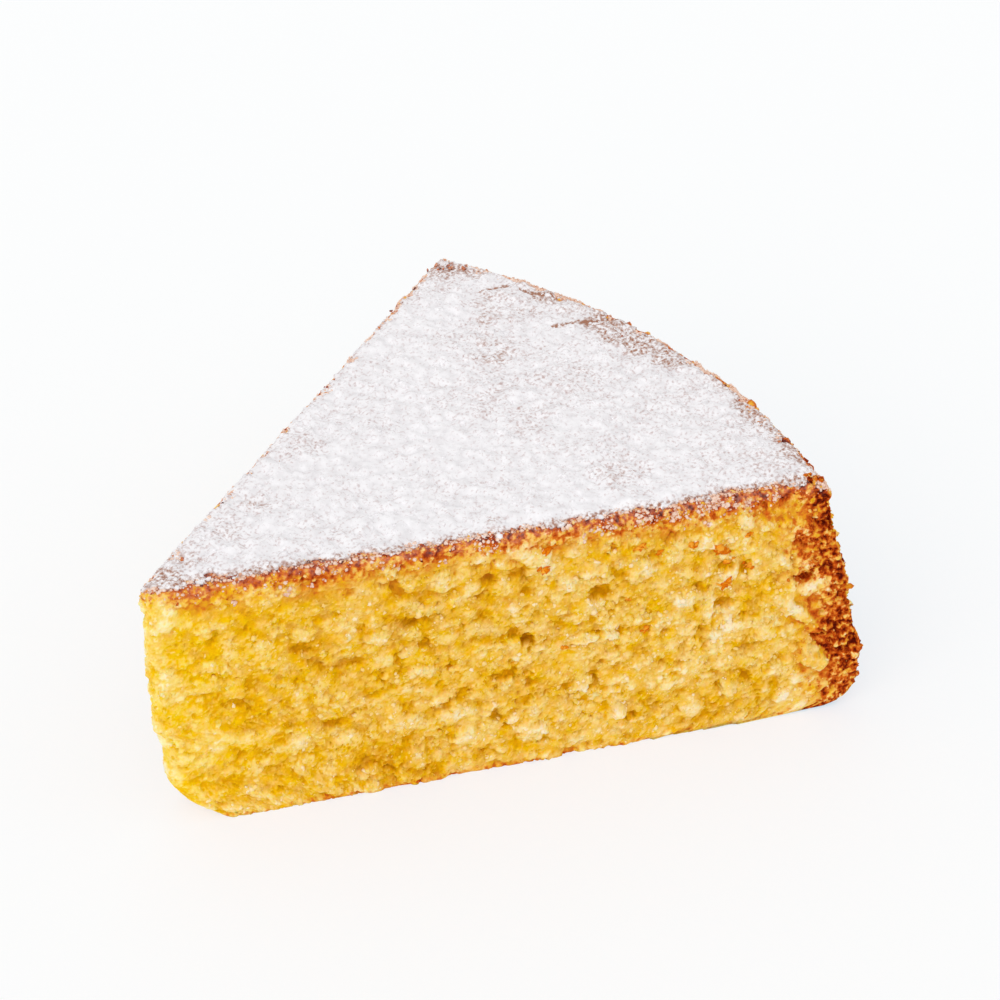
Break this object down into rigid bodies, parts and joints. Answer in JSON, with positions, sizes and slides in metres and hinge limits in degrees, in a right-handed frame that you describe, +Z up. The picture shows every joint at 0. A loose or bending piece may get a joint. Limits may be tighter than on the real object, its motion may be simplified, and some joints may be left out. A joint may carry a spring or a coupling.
{
  "type": "slice of caprese cake",
  "caption": "Wedge of lemon almond cake with a flared browned rim, a blunt crumbly tip, rough cut faces and a coat of icing sugar on its flat top.",
  "frame": {"origin": "middle of the slice's footprint box, on the surface that it stands on", "axes": "+X from the pointed tip to the rim, along the middle of the slice; +Z up; +Y towards the far cut"},
  "size_m": [0.1159, 0.1002, 0.0464],
  "materials": {
    "almond_sponge": "moist open crumb with a browned crust",
    "icing_sugar": "matt powder"
  },
  "bodies": {
    "root": {"cake_slice": "almond_sponge", "icing_sugar": "icing_sugar"}
  },
  "joints": []
}
